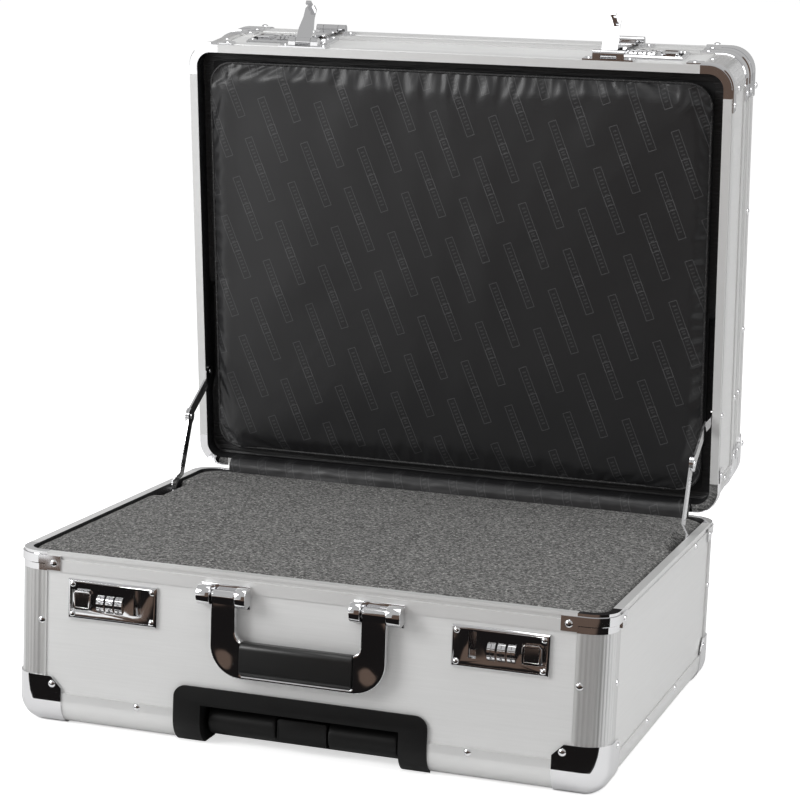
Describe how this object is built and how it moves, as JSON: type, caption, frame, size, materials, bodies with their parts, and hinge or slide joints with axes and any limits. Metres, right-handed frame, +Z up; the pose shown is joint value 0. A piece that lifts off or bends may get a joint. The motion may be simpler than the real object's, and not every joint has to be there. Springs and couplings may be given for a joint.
{
  "type": "laptop hard case",
  "caption": "Aluminium-edged hard case standing open, with a foam-filled base, hinged lid with laptop cover, combination locks, handle, trolley and wheels.",
  "frame": {"origin": "centre of the base's underside, on the surface that the case stands on", "axes": "+X to the right as seen from the locks, +Y to the hinges, +Z up"},
  "size_m": [0.4852, 0.5145, 0.5678],
  "materials": {
    "panel_sheet": "fine brushed sheet",
    "edge_profile": "satin anodised",
    "chrome": "polished",
    "foam": "open-cell foam",
    "black_plastic": "satin",
    "grip_rubber": "satin",
    "tube_aluminium": "satin",
    "tyre": "matt",
    "lining": "satin"
  },
  "bodies": {
    "base": {"base_panels": "panel_sheet", "base_profiles": "edge_profile", "base_corners": "chrome", "base_rivets": "chrome", "foam_block": "foam", "base_locks": "chrome", "handle_brackets": "chrome", "trolley_bezel": "black_plastic", "trolley_chassis": "black_plastic", "base_hinges": "edge_profile"},
    "handle": {"handle_bow": "chrome", "handle_grip": "grip_rubber"},
    "trolley_middle": {"trolley_middle_tubes": "tube_aluminium"},
    "trolley_handle": {"trolley_inner_tubes": "tube_aluminium", "trolley_grip": "black_plastic"},
    "trolley_button": {"trolley_button": "black_plastic"},
    "lid": {"lid_panels": "panel_sheet", "lid_profiles": "edge_profile", "lid_corners": "chrome", "lid_rivets": "chrome", "lining_pad": "lining", "lid_locks": "chrome", "lid_hasp_bases": "chrome", "lid_hinges": "edge_profile"},
    "cover": {"cover_panels": "panel_sheet", "cover_profiles": "edge_profile", "cover_corners": "chrome", "cover_rivets": "chrome", "cover_hasp_bases": "chrome", "cover_hinges": "edge_profile"},
    "wheel_left": {"wheel_left": "tyre"},
    "wheel_right": {"wheel_right": "tyre"},
    "stay_lower_left": {"stay_lower_left": "chrome"},
    "stay_upper_left": {"stay_upper_left": "chrome"},
    "stay_lower_right": {"stay_lower_right": "chrome"},
    "stay_upper_right": {"stay_upper_right": "chrome"},
    "cover_stay_lower_left": {"cover_stay_lower_left": "chrome"},
    "cover_stay_upper_left": {"cover_stay_upper_left": "chrome"},
    "cover_stay_lower_right": {"cover_stay_lower_right": "chrome"},
    "cover_stay_upper_right": {"cover_stay_upper_right": "chrome"},
    "base_button_left": {"base_button_left": "chrome"},
    "base_dial_left_1": {"base_dial_left_1": "chrome"},
    "base_dial_left_2": {"base_dial_left_2": "chrome"},
    "base_dial_left_3": {"base_dial_left_3": "chrome"},
    "base_button_right": {"base_button_right": "chrome"},
    "base_dial_right_1": {"base_dial_right_1": "chrome"},
    "base_dial_right_2": {"base_dial_right_2": "chrome"},
    "base_dial_right_3": {"base_dial_right_3": "chrome"},
    "lid_button_left": {"lid_button_left": "chrome"},
    "lid_dial_left_1": {"lid_dial_left_1": "chrome"},
    "lid_dial_left_2": {"lid_dial_left_2": "chrome"},
    "lid_dial_left_3": {"lid_dial_left_3": "chrome"},
    "lid_button_right": {"lid_button_right": "chrome"},
    "lid_dial_right_1": {"lid_dial_right_1": "chrome"},
    "lid_dial_right_2": {"lid_dial_right_2": "chrome"},
    "lid_dial_right_3": {"lid_dial_right_3": "chrome"},
    "lid_hasp_left": {"lid_hasp_left": "chrome"},
    "cover_hasp_left": {"cover_hasp_left": "chrome"},
    "lid_hasp_right": {"lid_hasp_right": "chrome"},
    "cover_hasp_right": {"cover_hasp_right": "chrome"}
  },
  "joints": [
    {"name": "lid_hinge", "type": "hinge", "parent": "base", "child": "lid", "pos_m": [0, 0.195, 0.142], "axis": [1, 0, 0], "range_deg": [0, 82]},
    {"name": "cover_hinge", "type": "hinge", "parent": "lid", "child": "cover", "pos_m": [0, 0.26729, 0.15216], "axis": [-1, 0, 0], "range_deg": [0, 80]},
    {"name": "handle_hinge", "type": "hinge", "parent": "base", "child": "handle", "pos_m": [0, -0.20075, 0.123], "axis": [-1, 0, 0], "range_deg": [0, 100]},
    {"name": "trolley_lower_slide", "type": "slide", "parent": "base", "child": "trolley_middle", "axis": [0, -1, 0], "range_m": [0, 0.25]},
    {"name": "trolley_upper_slide", "type": "slide", "parent": "trolley_middle", "child": "trolley_handle", "axis": [0, -1, 0], "range_m": [0, 0.25]},
    {"name": "trolley_press", "type": "slide", "parent": "trolley_handle", "child": "trolley_button", "axis": [0, 1, 0], "range_m": [0, 0.003], "stiffness_N_per_m": 400, "springref_m": -0.001},
    {"name": "wheel_left_spin", "type": "hinge", "parent": "base", "child": "wheel_left", "pos_m": [-0.158, 0.178, 0.026], "axis": [1, 0, 0], "continuous": true},
    {"name": "wheel_right_spin", "type": "hinge", "parent": "base", "child": "wheel_right", "pos_m": [0.158, 0.178, 0.026], "axis": [1, 0, 0], "continuous": true},
    {"name": "stay_lower_left_pivot", "type": "hinge", "parent": "base", "child": "stay_lower_left", "pos_m": [-0.2319, 0.107, 0.132], "axis": [1, 0, 0], "range_deg": [0, 98.5]},
    {"name": "stay_upper_left_pivot", "type": "hinge", "parent": "lid", "child": "stay_upper_left", "pos_m": [-0.2319, 0.18869, 0.22998], "axis": [1, 0, 0], "range_deg": [-117.4, 0]},
    {"name": "stay_lower_right_pivot", "type": "hinge", "parent": "base", "child": "stay_lower_right", "pos_m": [0.2319, 0.107, 0.132], "axis": [1, 0, 0], "range_deg": [0, 98.5]},
    {"name": "stay_upper_right_pivot", "type": "hinge", "parent": "lid", "child": "stay_upper_right", "pos_m": [0.2319, 0.18869, 0.22998], "axis": [1, 0, 0], "range_deg": [-117.4, 0]},
    {"name": "cover_stay_lower_left_pivot", "type": "hinge", "parent": "lid", "child": "cover_stay_lower_left", "pos_m": [-0.2319, 0.24514, 0.23791], "axis": [-1, 0, 0], "range_deg": [0, 73.7]},
    {"name": "cover_stay_upper_left_pivot", "type": "hinge", "parent": "cover", "child": "cover_stay_upper_left", "pos_m": [-0.2319, 0.26098, 0.24014], "axis": [-1, 0, 0], "range_deg": [-119.3, 0]},
    {"name": "cover_stay_lower_right_pivot", "type": "hinge", "parent": "lid", "child": "cover_stay_lower_right", "pos_m": [0.2319, 0.24514, 0.23791], "axis": [-1, 0, 0], "range_deg": [0, 73.7]},
    {"name": "cover_stay_upper_right_pivot", "type": "hinge", "parent": "cover", "child": "cover_stay_upper_right", "pos_m": [0.2319, 0.26098, 0.24014], "axis": [-1, 0, 0], "range_deg": [-119.3, 0]},
    {"name": "base_button_left_slide", "type": "slide", "parent": "base", "child": "base_button_left", "axis": [-1, 0, 0], "range_m": [0, 0.003], "stiffness_N_per_m": 200, "springref_m": -0.001},
    {"name": "base_dial_left_1_spin", "type": "hinge", "parent": "base", "child": "base_dial_left_1", "pos_m": [-0.15, -0.19085, 0.1037], "axis": [1, 0, 0], "continuous": true},
    {"name": "base_dial_left_2_spin", "type": "hinge", "parent": "base", "child": "base_dial_left_2", "pos_m": [-0.15775, -0.19085, 0.1037], "axis": [1, 0, 0], "continuous": true},
    {"name": "base_dial_left_3_spin", "type": "hinge", "parent": "base", "child": "base_dial_left_3", "pos_m": [-0.1655, -0.19085, 0.1037], "axis": [1, 0, 0], "continuous": true},
    {"name": "base_button_right_slide", "type": "slide", "parent": "base", "child": "base_button_right", "axis": [1, 0, 0], "range_m": [0, 0.003], "stiffness_N_per_m": 200, "springref_m": -0.001},
    {"name": "base_dial_right_1_spin", "type": "hinge", "parent": "base", "child": "base_dial_right_1", "pos_m": [0.15, -0.19085, 0.1037], "axis": [1, 0, 0], "continuous": true},
    {"name": "base_dial_right_2_spin", "type": "hinge", "parent": "base", "child": "base_dial_right_2", "pos_m": [0.15775, -0.19085, 0.1037], "axis": [1, 0, 0], "continuous": true},
    {"name": "base_dial_right_3_spin", "type": "hinge", "parent": "base", "child": "base_dial_right_3", "pos_m": [0.1655, -0.19085, 0.1037], "axis": [1, 0, 0], "continuous": true},
    {"name": "lid_button_left_slide", "type": "slide", "parent": "lid", "child": "lid_button_left", "axis": [-1, 0, 0], "range_m": [0, 0.003], "stiffness_N_per_m": 200, "springref_m": -0.001},
    {"name": "lid_dial_left_1_spin", "type": "hinge", "parent": "lid", "child": "lid_dial_left_1", "pos_m": [-0.15, 0.17566, 0.52892], "axis": [1, 0, 0], "continuous": true},
    {"name": "lid_dial_left_2_spin", "type": "hinge", "parent": "lid", "child": "lid_dial_left_2", "pos_m": [-0.15775, 0.17566, 0.52892], "axis": [1, 0, 0], "continuous": true},
    {"name": "lid_dial_left_3_spin", "type": "hinge", "parent": "lid", "child": "lid_dial_left_3", "pos_m": [-0.1655, 0.17566, 0.52892], "axis": [1, 0, 0], "continuous": true},
    {"name": "lid_button_right_slide", "type": "slide", "parent": "lid", "child": "lid_button_right", "axis": [1, 0, 0], "range_m": [0, 0.003], "stiffness_N_per_m": 200, "springref_m": -0.001},
    {"name": "lid_dial_right_1_spin", "type": "hinge", "parent": "lid", "child": "lid_dial_right_1", "pos_m": [0.15, 0.17566, 0.52892], "axis": [1, 0, 0], "continuous": true},
    {"name": "lid_dial_right_2_spin", "type": "hinge", "parent": "lid", "child": "lid_dial_right_2", "pos_m": [0.15775, 0.17566, 0.52892], "axis": [1, 0, 0], "continuous": true},
    {"name": "lid_dial_right_3_spin", "type": "hinge", "parent": "lid", "child": "lid_dial_right_3", "pos_m": [0.1655, 0.17566, 0.52892], "axis": [1, 0, 0], "continuous": true},
    {"name": "lid_hasp_left_pivot", "type": "hinge", "parent": "lid", "child": "lid_hasp_left", "pos_m": [-0.135, 0.14611, 0.533], "axis": [1, 0, 0], "range_deg": [0, 131]},
    {"name": "cover_hasp_left_pivot", "type": "hinge", "parent": "cover", "child": "cover_hasp_left", "pos_m": [-0.135, 0.2184, 0.54316], "axis": [-1, 0, 0], "range_deg": [0, 131]},
    {"name": "lid_hasp_right_pivot", "type": "hinge", "parent": "lid", "child": "lid_hasp_right", "pos_m": [0.135, 0.14611, 0.533], "axis": [1, 0, 0], "range_deg": [0, 131]},
    {"name": "cover_hasp_right_pivot", "type": "hinge", "parent": "cover", "child": "cover_hasp_right", "pos_m": [0.135, 0.2184, 0.54316], "axis": [-1, 0, 0], "range_deg": [0, 131]}
  ],
  "couplings": [
    {"joint": "stay_lower_left_pivot", "follows": "lid_hinge", "ratio": 1.2},
    {"joint": "stay_upper_left_pivot", "follows": "lid_hinge", "ratio": -1.43},
    {"joint": "stay_lower_right_pivot", "follows": "lid_hinge", "ratio": 1.2},
    {"joint": "stay_upper_right_pivot", "follows": "lid_hinge", "ratio": -1.43},
    {"joint": "cover_stay_lower_left_pivot", "follows": "cover_hinge", "ratio": 0.92},
    {"joint": "cover_stay_upper_left_pivot", "follows": "cover_hinge", "ratio": -1.49},
    {"joint": "cover_stay_lower_right_pivot", "follows": "cover_hinge", "ratio": 0.92},
    {"joint": "cover_stay_upper_right_pivot", "follows": "cover_hinge", "ratio": -1.49}
  ]
}
